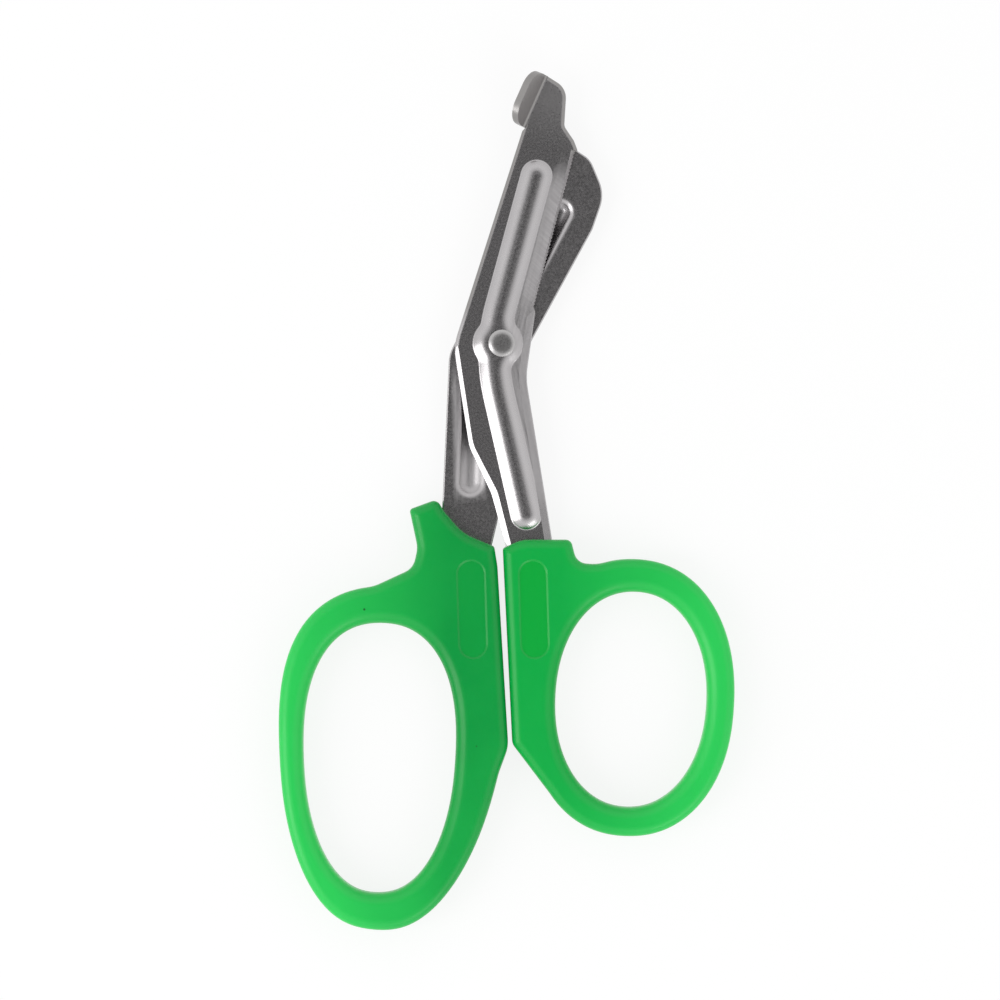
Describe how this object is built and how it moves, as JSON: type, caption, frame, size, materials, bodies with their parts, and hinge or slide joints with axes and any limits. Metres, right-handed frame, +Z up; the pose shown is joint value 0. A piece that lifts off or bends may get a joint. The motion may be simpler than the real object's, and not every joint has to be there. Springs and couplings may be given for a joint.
{
  "type": "bandage scissors",
  "caption": "Angled bandage scissors with ribbed steel blades, a folded blunt safety tip, a riveted pivot and plastic loop handles.",
  "frame": {"origin": "centre of the closed scissors' bounding box, on the plane that the handles lie on", "axes": "+X towards the thumb handle, +Y from the handles towards the blade tips, +Z up out of the surface, on the front blade's side"},
  "size_m": [0.1004, 0.1894, 0.0108],
  "materials": {
    "blade_steel": "satin stainless sheet",
    "rivet_steel": "polished stainless",
    "handle_plastic": "semi-gloss moulded plastic"
  },
  "bodies": {
    "finger_half": {"back_blade": "blade_steel", "finger_handle": "handle_plastic", "pivot_rivet": "rivet_steel"},
    "thumb_half": {"front_blade": "blade_steel", "thumb_handle": "handle_plastic"}
  },
  "joints": [
    {"name": "blade_pivot", "type": "hinge", "parent": "finger_half", "child": "thumb_half", "pos_m": [-0.00101, 0.03469, 0.0045], "axis": [0, 0, 1], "range_deg": [-0.4, 110]}
  ]
}
